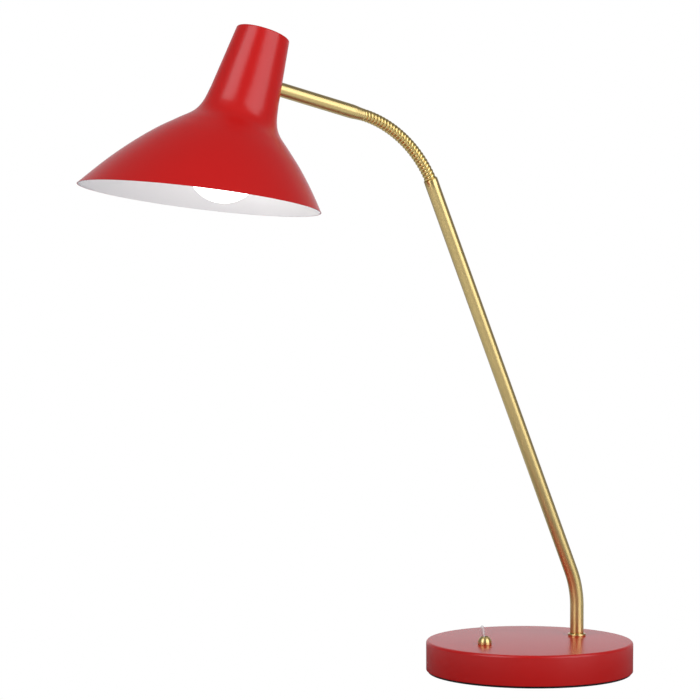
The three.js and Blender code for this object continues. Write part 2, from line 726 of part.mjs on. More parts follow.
function addLampholder(shade, armHole) {
  const legX = (radiusAtTop, depth) => radiusAtTop + coneSlope * depth;
  const levelLow = BRACKET_DEPTH + BRACKET_THICKNESS;
  const outline = new THREE.Shape([
    [legX(legOutside, BRACKET_END_DEPTH), -BRACKET_END_DEPTH],
    [legX(legOutside, BRACKET_DEPTH), -BRACKET_DEPTH],
    [-BRACKET_OVERHANG, -BRACKET_DEPTH],
    [-BRACKET_OVERHANG, -levelLow],
    [legX(legInside, levelLow), -levelLow],
    [legX(legInside, BRACKET_END_DEPTH), -BRACKET_END_DEPTH],
  ].map(([x, z]) => new THREE.Vector2(x, z)));
  const settings = { depth: BRACKET_WIDTH, bevelEnabled: false };
  const strip = new THREE.ExtrudeGeometry(outline, settings)
    .rotateX(Math.PI / 2)
    .translate(0, BRACKET_WIDTH / 2, 0);
  const hole = NIPPLE_DIAMETER + 2 * GAP;
  const levelHole = rod(hole, -levelLow - OVERRUN, -BRACKET_DEPTH + OVERRUN);
  add(shade, "holder_bracket", cut(strip, levelHole, armHole), steel);

  const nutLow = -BRACKET_DEPTH + GAP;
  const nippleTop = nutLow + THIN_NUT + NIPPLE_PAST_NUT;
  const capTop = -levelLow - GAP;
  const radius = HOLDER_DIAMETER / 2;
  const capLow = capTop - HOLDER_CAP_HEIGHT;
  const capInside = radius - HOLDER_WALL;
  const [bevelWidth, bevelHeight] = HOLDER_CAP_BEVEL;
  const boss = HOLDER_BOSS_DIAMETER / 2;
  const bossLow = capTop - HOLDER_BOSS_LENGTH;
  add(shade, "holder_nut", hexNut(NUT_ACROSS_FLATS, hole, nutLow, nutLow + THIN_NUT), steel);
  add(shade, "holder_nipple",
    ring(NIPPLE_DIAMETER, NIPPLE_BORE, bossLow, nippleTop), steel);
  const cap = spun([
    [capInside, capLow],
    [radius, capLow],
    [radius, capLow + HOLDER_CAP_SIDE],
    [radius - bevelWidth, capLow + HOLDER_CAP_SIDE + bevelHeight],
    [boss, capTop],
    [hole / 2, capTop],
    [hole / 2, bossLow],
    [boss, bossLow],
    [capInside, capLow + HOLDER_CAP_INSIDE],
  ]);
  add(shade, "holder_cap", cap, whitePlastic);

  const bodyTop = capLow - GAP;
  const bodyLow = bodyTop - HOLDER_BODY_HEIGHT;
  const roof = bodyTop - HOLDER_ROOF;
  const bore = HOLDER_BORE / 2;
  const wireHole = HOLDER_WIRE_HOLE / 2;
  const body = spun([
    [bore, bodyLow],
    [radius, bodyLow],
    [radius, bodyTop],
    [wireHole, bodyTop],
    [wireHole, roof],
    [bore, roof],
  ]);
  add(shade, "holder_body", body, whitePlastic);

  const shellDiameter = HOLDER_BORE - 2 * GAP;
  const threadShell = ring(
    shellDiameter,
    shellDiameter - 2 * THREAD_SHELL_WALL,
    bodyLow + THREAD_SHELL_ABOVE_MOUTH,
    roof - THREAD_SHELL_BELOW_ROOF,
  );
  add(shade, "holder_thread_shell", threadShell, nickel);

  const contactLow = -(BULB_BOTTOM_DEPTH - BULB_LENGTH) + GAP;
  const contactHead = CONTACT_HEAD_DIAMETER / 2;
  const contactStem = CONTACT_STEM_DIAMETER / 2;
  const contact = spun([
    [0, contactLow],
    [contactHead, contactLow],
    [contactHead, contactLow + CONTACT_HEAD_THICKNESS],
    [contactStem, contactLow + 2 * CONTACT_HEAD_THICKNESS],
    [contactStem, roof - GAP],
    [0, roof - GAP],
  ], COARSE);
  add(shade, "holder_contact", contact, brass);
}

function addBulb(shade) {
  const top = -(BULB_BOTTOM_DEPTH - BULB_LENGTH);
  const capRadius = BULB_CAP_DIAMETER / 2;
  const tipLow = top - BULB_TIP_HEIGHT;
  const insulatorTop = tipLow - GAP;
  const insulatorLow = insulatorTop - BULB_INSULATOR_HEIGHT;
  const capTop = insulatorLow - GAP;
  const capLow = capTop - BULB_CAP_HEIGHT;
  add(shade, "bulb_contact", rod(BULB_TIP_DIAMETER, tipLow, top, COARSE), nickel);
  const insulator = spun([
    [0, insulatorLow],
    [BULB_INSULATOR_DIAMETER / 2, insulatorLow],
    [BULB_INSULATOR_TOP_DIAMETER / 2, insulatorTop],
    [0, insulatorTop],
  ]);
  add(shade, "bulb_insulator", insulator, blackPlastic);
  const capInside = capRadius - BULB_CAP_WALL;
  const capCeiling = capTop - BULB_CAP_WALL;
  const [bevelWidth, bevelHeight] = BULB_CAP_BEVEL;
  const cap = spun([
    [capInside, capLow],
    [capRadius, capLow],
    [capRadius, capTop - bevelHeight],
    [capRadius - bevelWidth, capTop],
    [0, capTop],
    [0, capCeiling],
    [capInside - bevelHeight, capCeiling],
    [capInside, capCeiling - bevelHeight],
  ]);
  add(shade, "bulb_cap", cap, nickel);

  // The globe is a ball with a cone that runs tangent to it up into a straight neck.
  const radius = BULB_DIAMETER / 2;
  const centre = -BULB_BOTTOM_DEPTH + radius;
  const glassTop = capLow - GAP;
  const globe = (size, neck) => {
    const slant = (size * Math.cos(BULB_TANGENT) - neck) / Math.sin(BULB_TANGENT);
    const shoulder = centre + size * Math.sin(BULB_TANGENT) + slant * Math.cos(BULB_TANGENT);
    const ball = arc(size, 0, centre, -Math.PI / 2, BULB_TANGENT, BULB_ARC_STEPS);
    return [...ball, [neck, shoulder], [neck, glassTop]];
  };
  const outside = globe(radius, capRadius);
  const inside = globe(radius - BULB_GLASS_WALL, capRadius - BULB_GLASS_WALL);
  outside[0][0] = 0;
  inside[0][0] = 0;
  add(shade, "bulb_globe", spun([...outside, ...inside.toReversed()], SHADE_SIDES / 2), opalGlass);
}

// --------------------------------------------------------------------------- assembly

const lamp = new THREE.Group();
addBase(lamp);
addStem(lamp);
addSwitch(lamp);
addNeck(lamp);
addArm(lamp);
addShade(lamp);

export default lamp;
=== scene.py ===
"""The architect desk lamp's visible surfaces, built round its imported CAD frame.

Every length is in metres. Pieces are spun or swept about the lines that the frame gives:
the stem's and the base's come from the CAD boxes, the flexible neck's from its hinges, and
the shade's from the axis that the lamp globe turns on.
"""

import json
import math

import bmesh
import bpy
from mathutils import Matrix, Vector


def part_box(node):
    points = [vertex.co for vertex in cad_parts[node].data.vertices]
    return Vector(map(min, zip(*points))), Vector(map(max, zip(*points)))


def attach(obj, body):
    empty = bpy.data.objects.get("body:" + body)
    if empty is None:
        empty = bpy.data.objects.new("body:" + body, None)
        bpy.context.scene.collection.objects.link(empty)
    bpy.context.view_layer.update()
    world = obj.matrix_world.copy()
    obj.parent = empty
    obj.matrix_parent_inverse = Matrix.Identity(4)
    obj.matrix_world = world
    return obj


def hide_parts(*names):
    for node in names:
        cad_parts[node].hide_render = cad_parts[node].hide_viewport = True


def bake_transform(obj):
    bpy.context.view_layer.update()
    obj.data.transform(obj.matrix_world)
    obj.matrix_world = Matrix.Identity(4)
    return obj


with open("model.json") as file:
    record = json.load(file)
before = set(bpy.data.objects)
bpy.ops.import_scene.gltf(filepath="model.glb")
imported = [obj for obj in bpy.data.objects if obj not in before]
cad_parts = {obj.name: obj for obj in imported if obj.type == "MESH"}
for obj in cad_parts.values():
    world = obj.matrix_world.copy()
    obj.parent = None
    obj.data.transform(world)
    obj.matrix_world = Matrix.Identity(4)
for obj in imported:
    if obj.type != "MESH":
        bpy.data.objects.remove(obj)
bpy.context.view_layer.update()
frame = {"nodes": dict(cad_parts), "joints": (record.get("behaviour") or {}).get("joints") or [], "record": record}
scene = bpy.context.scene
joints = {joint["name"]: joint for joint in frame["joints"]}

MM = 0.001
TAU = 2 * math.pi
UP = Vector((0, 0, 1))
SIDEWAYS = Vector((0, 1, 0))

# ------------------------------------------------------------------------------ camera

CAMERA_PLACE = (-1.3582, -1.8059, 0.3606)
CAMERA_AZIMUTH = math.radians(-32.98)
CAMERA_PITCH = math.radians(-2.03)
CAMERA_LENS = 133.7


def direction(azimuth, pitch):
    """The unit vector that looks along an azimuth, where 0 is +Y and 90 degrees is -X."""
    level = math.cos(pitch)
    return Vector((-math.sin(azimuth) * level, math.cos(azimuth) * level, math.sin(pitch)))


def make_camera():
    data = bpy.data.cameras.new("camera")
    data.lens = CAMERA_LENS
    data.clip_start = 0.1
    data.clip_end = 50
    camera = bpy.data.objects.new("camera", data)
    scene.collection.objects.link(camera)
    camera.location = CAMERA_PLACE
    camera.rotation_mode = "QUATERNION"
    looks_along = direction(CAMERA_AZIMUTH, CAMERA_PITCH)
    camera.rotation_quaternion = looks_along.to_track_quat("-Z", "Y")
    scene.camera = camera


make_camera()

# --------------------------------------------------------------------------- materials

# Most of a noise's values lie between these two.
NOISE_LOW = 0.3
NOISE_HIGH = 0.7
# The UV map that a loft gives its piece: x runs round the piece and y along it.
UV_NAME = "around_along"


class Nodes:
    """A new material's node tree, with short calls to fill it."""

    def __init__(self, name):
        self.material = bpy.data.materials.new(name)
        self.material.use_nodes = True
        self.tree = self.material.node_tree
        self.shader = self.tree.nodes["Principled BSDF"]

    def add(self, kind, **settings):
        node = self.tree.nodes.new(kind)
        for key, value in settings.items():
            setattr(node, key, value)
        return node

    def link(self, output, socket):
        self.tree.links.new(output, socket)

    def set(self, **values):
        for key, value in values.items():
            self.shader.inputs[key.replace("_", " ")].default_value = value

    def coordinates(self, stretch=(1, 1, 1), uv_map=None):
        """Object coordinates, or a named UV map's, scaled on each axis."""
        mapping = self.add("ShaderNodeMapping")
        mapping.inputs["Scale"].default_value = stretch
        if uv_map:
            source = self.add("ShaderNodeUVMap", uv_map=uv_map)
            self.link(source.outputs["UV"], mapping.inputs["Vector"])
        else:
            source = self.add("ShaderNodeTexCoord")
            self.link(source.outputs["Object"], mapping.inputs["Vector"])
        return mapping.outputs["Vector"]

    def noise(self, coordinates, scale, detail=3.0, roughness=0.5):
        node = self.add("ShaderNodeTexNoise")
        node.inputs["Scale"].default_value = scale
        node.inputs["Detail"].default_value = detail
        node.inputs["Roughness"].default_value = roughness
        self.link(coordinates, node.inputs["Vector"])
        return node.outputs["Fac"]

    def between(self, factor, low, high):
        """A number that runs from low to high as the factor runs over a noise's usual span."""
        node = self.add("ShaderNodeMapRange")
        node.inputs["From Min"].default_value = NOISE_LOW
        node.inputs["From Max"].default_value = NOISE_HIGH
        node.inputs["To Min"].default_value = low
        node.inputs["To Max"].default_value = high
        self.link(factor, node.inputs["Value"])
        return node.outputs["Result"]

    def mix_colors(self, factor, first, second):
        node = self.add("ShaderNodeMix", data_type="RGBA")
        node.inputs["A"].default_value = (*first, 1)
        node.inputs["B"].default_value = (*second, 1)
        self.link(factor, node.inputs["Factor"])
        return node.outputs["Result"]

    def bump(self, height, distance, strength=1.0):
        node = self.add("ShaderNodeBump")
        node.inputs["Distance"].default_value = distance
        node.inputs["Strength"].default_value = strength
        self.link(height, node.inputs["Height"])
        self.link(node.outputs["Normal"], self.shader.inputs["Normal"])


def darker(color, share):
    return tuple(channel * share for channel in color)


def mottle(made, noise, color, darkest):
    """Colours a material by a noise, from a darker share of its colour up to the colour."""
    mixed = made.mix_colors(made.between(noise, 0, 1), darker(color, darkest), color)
    made.link(mixed, made.shader.inputs["Base Color"])


def vary_roughness(made, noise, roughness, spread):
    varied = made.between(noise, roughness - spread, roughness + spread)
    made.link(varied, made.shader.inputs["Roughness"])


def satin_paint(name, color, roughness, gloss):
    """Powder coat: a nearly even colour under an even, soft sheen."""
    made = Nodes(name)
    mottle(made, made.noise(made.coordinates(), scale=12), color, darkest=0.97)
    made.set(Roughness=roughness, Specular_IOR_Level=gloss)
    return made.material


STREAK_STRETCH = (1, 0.02, 1)
STREAK_DEPTH = 0.0004 * MM


def brushed_metal(name, color, roughness):
    """Lacquered metal with fine streaks that run along the piece."""
    made = Nodes(name)
    streaks = made.noise(made.coordinates(STREAK_STRETCH, uv_map=UV_NAME), scale=2600, detail=2)
    cloud = made.noise(made.coordinates(), scale=60)
    mottle(made, streaks, color, darkest=0.95)
    vary_roughness(made, cloud, roughness, spread=0.02)
    made.set(Metallic=1.0, Anisotropic=0.85, Anisotropic_Rotation=0.25)
    made.set(Coat_Weight=0.6, Coat_Roughness=0.2)
    around = made.add("ShaderNodeTangent", direction_type="UV_MAP", uv_map=UV_NAME)
    made.link(around.outputs["Tangent"], made.shader.inputs["Tangent"])
    made.bump(streaks, STREAK_DEPTH, strength=0.6)
    return made.material


def plain_metal(name, color, roughness, grain=700, metallic=1.0):
    """Plated or zinced metal, with a faint mottle. A matt plating is less than fully metallic."""
    made = Nodes(name)
    place = made.coordinates()
    mottle(made, made.noise(place, grain), color, darkest=0.88)
    vary_roughness(made, made.noise(place, grain / 4), roughness, spread=0.04)
    made.set(Metallic=metallic)
    return made.material


def moulded(name, color, roughness, grain=1500, depth=0.02 * MM):
    """Moulded plastic or foam rubber, with a fine grain."""
    made = Nodes(name)
    place = made.coordinates()
    mottle(made, made.noise(place, grain / 8), color, darkest=0.9)
    vary_roughness(made, made.noise(place, grain / 3), roughness, spread=0.05)
    made.bump(made.noise(place, grain), depth, strength=0.5)
    return made.material


CAST_HOLLOW = (0.02, 0.02, 0.022)
CAST_LUMP = (0.05, 0.05, 0.052)
CAST_DEPTH = 0.3 * MM


def cast_iron(name):
    """Rough black casting."""
    made = Nodes(name)
    lumps = made.noise(made.coordinates(), scale=400, detail=6, roughness=0.7)
    mixed = made.mix_colors(made.between(lumps, 0, 1), CAST_HOLLOW, CAST_LUMP)
    made.link(mixed, made.shader.inputs["Base Color"])
    made.set(Metallic=0.6, Roughness=0.7)
    made.bump(lumps, CAST_DEPTH)
    return made.material


def lit_opal(name, color, strength):
    """The opal envelope of a lit lamp."""
    made = Nodes(name)
    mottle(made, made.noise(made.coordinates(), scale=30), color, darkest=0.98)
    made.set(Roughness=0.35, Emission_Color=(*color, 1), Emission_Strength=strength)
    return made.material


RED = (0.63, 0.0055, 0.004)
WHITE = (0.80, 0.79, 0.80)
BRASS = (0.84, 0.64, 0.25)
NICKEL = (0.9, 0.89, 0.88)
ZINC = (0.5, 0.51, 0.53)
FOAM_BLACK = (0.012, 0.012, 0.013)
PLASTIC_BLACK = (0.015, 0.015, 0.017)
PLASTIC_WHITE = (0.78, 0.77, 0.74)
LAMP_WHITE = (1.0, 0.97, 0.92)

red_paint = satin_paint("red_satin_paint", RED, roughness=0.27, gloss=0.5)
white_paint = satin_paint("white_satin_paint", WHITE, roughness=0.5, gloss=0.3)
brass = brushed_metal("brushed_brass", BRASS, roughness=0.31)
ribbed_brass = plain_metal("ribbed_brass", BRASS, roughness=0.2)
nickel = plain_metal("satin_nickel", NICKEL, roughness=0.4, metallic=0.45)
zinc_steel = plain_metal("zinced_steel", ZINC, roughness=0.35)
iron = cast_iron("cast_iron")
foam = moulded("black_foam_rubber", FOAM_BLACK, roughness=0.85, grain=900, depth=0.1 * MM)
black_plastic = moulded("black_plastic", PLASTIC_BLACK, roughness=0.45)
white_plastic = moulded("white_plastic", PLASTIC_WHITE, roughness=0.4)
opal = lit_opal("lit_opal_globe", LAMP_WHITE, strength=3.6)

SLOT_MATERIALS = {
    "red_paint": red_paint,
    "satin_brass": ribbed_brass,
    "nickel": nickel,
    "zinc_steel": zinc_steel,
    "cast_iron": iron,
    "foot_rubber": foam,
    "black_plastic": black_plastic,
    "white_plastic": white_plastic,
    "opal_glass": opal,
}

# ----------------------------------------------------------------------- mesh building

# An edge that turns by more than this is shaded as a sharp one.
SHARP_TURN = math.radians(50)
# Points of a loft that lie closer than this are one point.
MERGE_DISTANCE = 1e-7
SHORTEST_EDGE = 1e-8
# The UV map is unrolled from a tube of this radius, whatever the piece's own is.
UV_RADIUS = 6 * MM
# A fillet takes no more than this share of either of its corner's edges.
FILLET_REACH = 0.49


def make_piece(name, vertices, faces, material, uvs=None):
    """A smooth-shaded mesh object. uvs, where given, has one (x, y) for each face corner."""
    mesh = bpy.data.meshes.new(name)
    mesh.from_pydata([tuple(v) for v in vertices], [], faces)
    if uvs:
        layer = mesh.uv_layers.new(name=UV_NAME)
        flat = [number for face in uvs for corner in face for number in corner]
        layer.data.foreach_set("uv", flat)
    mesh.materials.append(material)
    mesh.polygons.foreach_set("use_smooth", [True] * len(mesh.polygons))
    mesh.validate()
    mesh.set_sharp_from_angle(angle=SHARP_TURN)
    made = bpy.data.objects.new(name, mesh)
    scene.collection.objects.link(made)
    return made


def loft(name, rings, material):
    """Joins a closed row of rings, all with the same number of points, into a skin."""
    sides = len(rings[0])
    width = TAU * UV_RADIUS / sides
    vertices = [point for ring in rings for point in ring]
    faces = []
    uvs = []
    along = 0.0
    for i in range(len(rings)):
        j = (i + 1) % len(rings)
        step = (rings[j][0] - rings[i][0]).length
        for k in range(sides):
            m = (k + 1) % sides
            faces.append((i * sides + k, i * sides + m, j * sides + m, j * sides + k))
            left = k * width
            right = (k + 1) * width
            uvs.append([(left, along), (right, along), (right, along + step), (left, along + step)])
        along += step
    made = make_piece(name, vertices, faces, material, uvs)
    return merge_points(made)


def merge_points(piece):
    """Merges the points that lie on each other, as the rings on an axis do."""
    work = bmesh.new()
    work.from_mesh(piece.data)
    bmesh.ops.remove_doubles(work, verts=work.verts, dist=MERGE_DISTANCE)
    bmesh.ops.dissolve_degenerate(work, edges=work.edges, dist=SHORTEST_EDGE)
    bmesh.ops.recalc_face_normals(work, faces=work.faces)
    work.to_mesh(piece.data)
    work.free()
    return piece


def rounded(corners, steps=5):
    """A profile of (radius, height, fillet) corners as points, with each corner filleted."""
    points = []
    count = len(corners)
    for i, (x, y, fillet) in enumerate(corners):
        here = Vector((x, y))
        if fillet == 0:
            points.append((x, y))
            continue
        before = Vector(corners[i - 1][:2]) - here
        after = Vector(corners[(i + 1) % count][:2]) - here
        turn = before.angle(after)
        setback = fillet / math.tan(turn / 2)
        setback = min(setback, FILLET_REACH * before.length, FILLET_REACH * after.length)
        reach = setback / math.cos(turn / 2)
        centre = here + (before.normalized() + after.normalized()).normalized() * reach
        size = setback * math.tan(turn / 2)
        first = here + before.normalized() * setback - centre
        last = here + after.normalized() * setback - centre
        sweep = first.angle_signed(last)
        for k in range(steps + 1):
            spoke = first.copy()
            spoke.rotate(Matrix.Rotation(-sweep * k / steps, 2))
            spoke = spoke.normalized() * size
            points.append(tuple(centre + spoke))
    return points


def spun(name, corners, material, place, sides=96, steps=5):
    """Spins a closed profile of (radius, height, fillet) corners about the Z axis of place."""
    angles = [TAU * k / sides for k in range(sides)]
    rings = []
    for radius, height in rounded(corners, steps):
        rings.append([
            place @ Vector((radius * math.cos(angle), radius * math.sin(angle), height))
            for angle in angles
        ])
    return loft(name, rings, material)


def leaning_frame(origin, up):
    """A frame whose Z is up, whose Y is the lamp's own Y and whose X is square to both."""
    z = Vector(up).normalized()
    x = SIDEWAYS.cross(z).normalized()
    y = z.cross(x)
    turn = Matrix((x, y, z)).transposed().to_4x4()
    return Matrix.Translation(origin) @ turn


def finished(piece, body, stands_for=()):
    """Gives a piece its body and hides the CAD nodes that it stands for."""
    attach(piece, body)
    if stands_for:
        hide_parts(*stands_for)
    return piece


def size_of(node):
    low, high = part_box(node)
    return high - low


def middle_of(node):
    low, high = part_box(node)
    return (high + low) / 2


# ---------------------------------------------------------------------------- the base

cover_low, cover_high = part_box("base_cover")
BASE_TOP = cover_high.z
BASE_RADIUS = (cover_high.x - cover_low.x) / 2
COVER_FOOT = cover_low.z
COVER_WALL = 1.5 * MM
COVER_EDGE = 2.4 * MM
COVER_INNER_EDGE = 1.0 * MM
COVER_DRAFT = 0.1 * MM
COVER_LIP = (0.2 * MM, 0.4 * MM)
PAD_TAPER = 0.2 * MM
PAD_FOOT_EDGE = 0.4 * MM
PAD_TOP_EDGE = 0.2 * MM
PAD_OVERLAP = 0.2 * MM
INLET_BORE = 3.5 * MM
INLET_SLEEVE = 4.7 * MM
INLET_OVERLAP = 0.2 * MM
INLET_MOUTH = (0.6 * MM, 0.8 * MM)
SMALL_EDGE = 0.3 * MM
STEM_X = middle_of("stem_collar").x
SWITCH_X = middle_of("switch_dome_nut").x
ORIGIN = Matrix.Identity(4)


def build_cover():
    inside = BASE_RADIUS - COVER_WALL
    ceiling = BASE_TOP - COVER_WALL
    cover = spun("base_cover_shell", [
        (inside, COVER_FOOT, COVER_LIP[0]),
        (BASE_RADIUS - COVER_DRAFT, COVER_FOOT, COVER_LIP[1]),
        (BASE_RADIUS, BASE_TOP, COVER_EDGE),
        (0, BASE_TOP, 0),
        (0, ceiling, 0),
        (inside, ceiling, COVER_INNER_EDGE),
    ], red_paint, ORIGIN, sides=256, steps=10)
    finished(cover, "base", ["base_cover"])


def build_foot_pad():
    radius = size_of("foot_pad").x / 2
    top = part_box("foot_pad")[1].z + PAD_OVERLAP
    pad = spun("foot_pad_foam", [
        (0, 0, 0),
        (radius - PAD_TAPER, 0, PAD_FOOT_EDGE),
        (radius, top, PAD_TOP_EDGE),
        (0, top, 0),
    ], foam, ORIGIN, sides=192)
    finished(pad, "base", ["foot_pad"])


def build_cord_inlet():
    low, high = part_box("cord_inlet")
    flange = (high.z - low.z) / 2
    seat = BASE_RADIUS - INLET_OVERLAP
    axis = leaning_frame((0, 0, middle_of("cord_inlet").z), (1, 0, 0))
    inlet = spun("cord_inlet_bush", [
        (INLET_BORE, low.x, SMALL_EDGE),
        (INLET_SLEEVE, low.x, SMALL_EDGE),
        (INLET_SLEEVE, seat, 0),
        (flange, seat, 0),
        (flange, high.x, INLET_MOUTH[0]),
        (INLET_BORE, high.x, INLET_MOUTH[1]),
    ], black_plastic, axis, sides=64)
    finished(inlet, "base", ["cord_inlet"])


build_cover()
build_foot_pad()
build_cord_inlet()

# ---------------------------------------------------------- the stem, neck and arm line

hinges = [joint for joint in frame["joints"] if joint["name"].startswith("neck_")]
hinge_places = [Vector(joint["pos_m"]) for joint in hinges]

TUBE_RADIUS = size_of("stem_tube").y / 2
TUBE_WALL = 1.0 * MM
TUBE_SIDES = 64
BEND_RADIUS = 80 * MM
STEM_LEAN = math.radians(23.85)
STEM_CLEAR_OF_BASE = 0.1 * MM
FOOT_STEPS = 6
BEND_STEPS = 24
LONG_STEPS = 40
COLLAR_GAP = 0.3 * MM
COLLAR_FOOT_EDGE = 0.2 * MM
COLLAR_TOP_EDGE = 0.8 * MM
NECK_RADIUS = size_of("neck_link_01").y / 2
ARM_RADIUS = size_of("arm_tube").y / 2


def in_plane(vector):
    """A vector of the lamp's plane turned a quarter turn from +Z towards -X."""
    return Vector((-vector.z, 0, vector.x))


def lean_vector(lean):
    """The way up of a line that leans towards -X."""
    return Vector((-math.sin(lean), 0, math.cos(lean)))


def lean_spoke(lean):
    """The way from a bend's centre out to where its line leans by this much."""
    return Vector((math.cos(lean), 0, math.sin(lean)))


def neck_arc():
    """The centre, radius, first lean and last lean of the arc that the hinges stand on."""
    first, middle, last = hinge_places[0], hinge_places[len(hinge_places) // 2], hinge_places[-1]
    near, far = middle - first, last - first
    normal = near.cross(far)
    towards = far.length_squared * normal.cross(near) - near.length_squared * normal.cross(far)
    centre = first + towards / (2 * normal.length_squared)
    radius = (first - centre).length
    spokes = [place - centre for place in (first, last)]
    leans = [math.atan2(spoke.z, spoke.x) for spoke in spokes]
    half_step = (leans[1] - leans[0]) / (len(hinge_places) - 1) / 2
    return centre, radius, leans[0] - half_step, leans[1] + half_step


NECK_CENTRE, NECK_BEND, NECK_LEAN, ARM_LEAN = neck_arc()


def neck_point(share):
    """The place and the way of the neck's line at a share of its length."""
    lean = NECK_LEAN + (ARM_LEAN - NECK_LEAN) * share
    return NECK_CENTRE + lean_spoke(lean) * NECK_BEND, lean_vector(lean)


neck_start = neck_point(0)[0]
stem_way = lean_vector(STEM_LEAN)
arm_start, arm_way = neck_point(1)


def ring_about(place, way, radii):
    """A ring of points about a line in the lamp's plane, one point for each of the radii."""
    across = in_plane(way)
    points = []
    for k, radius in enumerate(radii):
        angle = TAU * k / len(radii)
        spoke = across * math.cos(angle) + SIDEWAYS * math.sin(angle)
        points.append(place + spoke * radius)
    return points


def circle(place, way, radius):
    """A ring of one radius."""
    return ring_about(place, way, [radius] * TUBE_SIDES)


def swept_tube(name, stations, wall, material):
    """A hollow tube through stations of (place, way, radius), open at both ends."""
    outside = [circle(place, way, radius) for place, way, radius in stations]
    inside = [circle(place, way, radius - wall) for place, way, radius in stations]
    return loft(name, outside + inside[::-1], material)


def stem_stations():
    """The stem's line: upright from the base, round the bend and straight to the neck."""
    setback = BEND_RADIUS * math.tan(STEM_LEAN / 2)
    rise = (STEM_X - neck_start.x) / math.tan(STEM_LEAN)
    corner = Vector((STEM_X, 0, neck_start.z - rise))
    bend_start = corner - UP * setback
    bend_centre = bend_start - Vector((BEND_RADIUS, 0, 0))
    foot = Vector((STEM_X, 0, BASE_TOP + STEM_CLEAR_OF_BASE))
    cut = TUBE_RADIUS - SMALL_EDGE
    stations = [(foot, UP, cut), (foot + UP * SMALL_EDGE, UP, TUBE_RADIUS)]
    for k in range(1, FOOT_STEPS):
        stations.append((foot.lerp(bend_start, k / FOOT_STEPS), UP, TUBE_RADIUS))
    for k in range(BEND_STEPS + 1):
        lean = STEM_LEAN * k / BEND_STEPS
        place = bend_centre + lean_spoke(lean) * BEND_RADIUS
        stations.append((place, lean_vector(lean), TUBE_RADIUS))
    bend_end = stations[-1][0]
    for k in range(1, LONG_STEPS):
        stations.append((bend_end.lerp(neck_start, k / LONG_STEPS), stem_way, TUBE_RADIUS))
    stations.append((neck_start - stem_way * SMALL_EDGE, stem_way, TUBE_RADIUS))
    stations.append((neck_start, stem_way, cut))
    return stations


def build_stem():
    tube = swept_tube("stem_tube_brass", stem_stations(), TUBE_WALL, brass)
    finished(tube, "base", ["stem_tube"])

    collar_low, collar_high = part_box("stem_collar")
    outside = (collar_high.x - collar_low.x) / 2
    inside = TUBE_RADIUS + COLLAR_GAP
    collar = spun("stem_collar_ring", [
        (inside, BASE_TOP, 0),
        (outside, BASE_TOP, COLLAR_FOOT_EDGE),
        (outside, collar_high.z, COLLAR_TOP_EDGE),
        (inside, collar_high.z, SMALL_EDGE),
    ], brass, Matrix.Translation((STEM_X, 0, 0)))
    finished(collar, "base", ["stem_collar"])


build_stem()

RIB_COUNT = 27
RIB_DEPTH = 1.1 * MM
COIL_STEPS_PER_RIB = 12
NECK_BORE = 3 * MM
# The plain spigot that stands in the stem's mouth, from its foot up to where the ribs start.
SPIGOT_DEPTHS = (4 * MM, 0.7 * MM)
SPIGOT_GAP = 0.2 * MM


def coil_radius(share):
    """The radius of the wound neck at a share of its length: a row of round ribs."""
    phase = (share * RIB_COUNT) % 1.0
    bulge = math.sqrt(max(0.0, 1 - (2 * phase - 1) ** 2))
    return NECK_RADIUS - RIB_DEPTH * (1 - bulge)


def coil_ring(share):
    """A ring of the winding, which climbs by one rib as it goes round."""
    place, way = neck_point(share)
    climbs = [k / TUBE_SIDES / RIB_COUNT for k in range(TUBE_SIDES)]
    return ring_about(place, way, [coil_radius(share + climb) for climb in climbs])


def neck_sleeve(name, first, last, steps, with_spigot):
    """The ribbed sleeve between two shares of the neck's length."""
    outside = []
    inside = []
    if with_spigot:
        for depth in SPIGOT_DEPTHS:
            place = neck_start - stem_way * depth
            outside.append(circle(place, stem_way, TUBE_RADIUS - TUBE_WALL - SPIGOT_GAP))
            inside.append(circle(place, stem_way, NECK_BORE))
    for k in range(steps + 1):
        share = first + (last - first) * k / steps
        outside.append(coil_ring(share))
        inside.append(circle(*neck_point(share), NECK_BORE))
    return loft(name, outside + inside[::-1], ribbed_brass)


def build_neck():
    """One sleeve of ribs over each hinge, from the middle of one link to the next."""
    count = len(hinges)
    steps = round(RIB_COUNT * COIL_STEPS_PER_RIB / count)
    for i, joint in enumerate(hinges):
        first = i / count
        last = (i + 1) / count
        sleeve = neck_sleeve(f"neck_sleeve_{i + 1:02d}", first, last, steps, with_spigot=i == 0)
        stands_for = ["neck_lower_plug"] if i == 0 else [f"neck_link_{i:02d}"]
        if i == count - 1:
            stands_for.append("neck_upper_plug")
        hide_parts(*stands_for)
        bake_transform(sleeve)


build_neck()

# --------------------------------------------------------------------- arm and the shade

turn_joint = joints["bulb_turn"]
shade_down = Vector(turn_joint["axis"]).normalized()
GLOBE_RADIUS = 30 * MM
GLOBE_DEPTH = 113 * MM
shade_top = Vector(turn_joint["pos_m"]) - shade_down * GLOBE_DEPTH
shade_frame = leaning_frame(shade_top, -shade_down)

SHADE_WALL = 1.0 * MM
PAINT_SHARE = 0.5
ARM_DEPTH = 39.8 * MM
NECK_AT_ARM = 26.7 * MM
CONE_SLOPE = 0.117
CONE_DEPTH = 54 * MM
TOP_RADIUS = NECK_AT_ARM - CONE_SLOPE * ARM_DEPTH
CONE_RADIUS = TOP_RADIUS + CONE_SLOPE * CONE_DEPTH
TOP_EDGE = 1.2 * MM
TOP_EDGE_STEPS = 4
CONE_STEPS = 8
FLARE_STEPS = 120
# How much deeper and wider than the end of the cone each knot of the flare is, in millimetres.
FLARE = [
    (0, 0),
    (14, 2.8),
    (24, 8.1),
    (35.3, 20.2),
    (48.3, 33.9),
    (65.7, 49.4),
    (86.5, 65.3),
    (116, 84.9),
]
RIM_DEPTH = 143.2 * MM
RIM_TILT = math.radians(11)
SHADE_SIDES = 256
